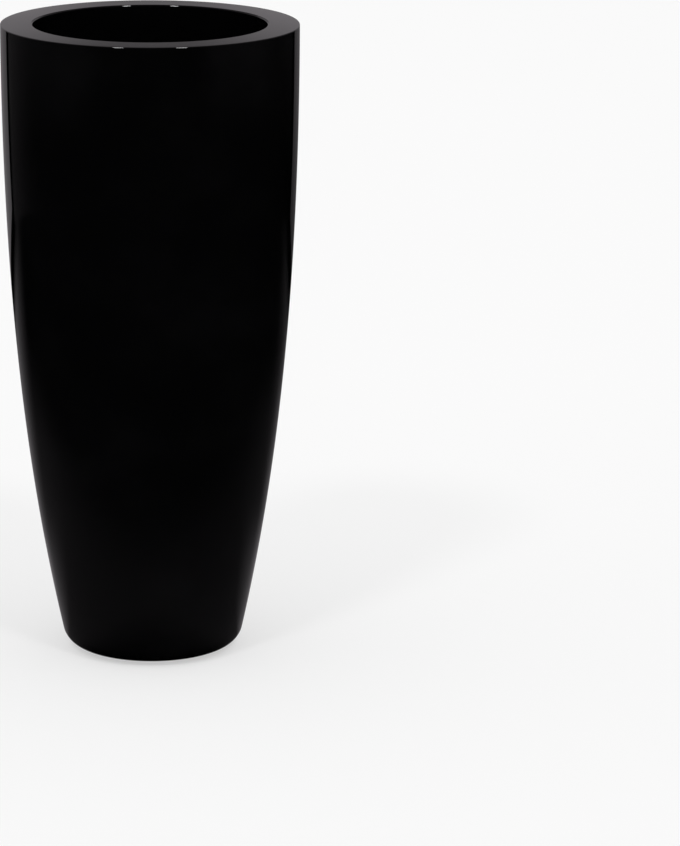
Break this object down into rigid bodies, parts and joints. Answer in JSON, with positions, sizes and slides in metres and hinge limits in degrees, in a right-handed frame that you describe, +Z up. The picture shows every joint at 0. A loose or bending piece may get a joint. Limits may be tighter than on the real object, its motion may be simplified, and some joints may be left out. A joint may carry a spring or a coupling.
{
  "type": "floor planter",
  "caption": "Tall round high-gloss black floor planter that swells from a small base to an upright wall, with a wide flat rim, a drained floor and a lift-out drain plug.",
  "frame": {"origin": "centre of the base, at the level that the foot pads stand on", "axes": "+Z up along the planter's axis, +X and +Y level"},
  "size_m": [0.37, 0.37, 0.8],
  "materials": {
    "gloss_lacquer": "high-gloss black lacquer over glass-fibre laminate",
    "bare_laminate": "bare chopped-strand laminate in smoke-grey resin, rolled",
    "bonding_paste": "cured grey bonding paste, tooled",
    "plug_rubber": "moulded black rubber",
    "pad_rubber": "matt black rubber"
  },
  "bodies": {
    "pot": {"outer_shell": "gloss_lacquer", "rim_collar": "gloss_lacquer", "rim_bond": "bonding_paste", "floor_disc": "bare_laminate", "floor_bond": "bonding_paste", "foot_pad_1": "pad_rubber", "foot_pad_2": "pad_rubber", "foot_pad_3": "pad_rubber", "foot_pad_4": "pad_rubber"},
    "plug": {"drain_plug": "plug_rubber"}
  },
  "joints": [
    {"name": "plug_lift", "type": "slide", "parent": "pot", "child": "plug", "axis": [0, 0, 1], "range_m": [0, 0.82]}
  ]
}
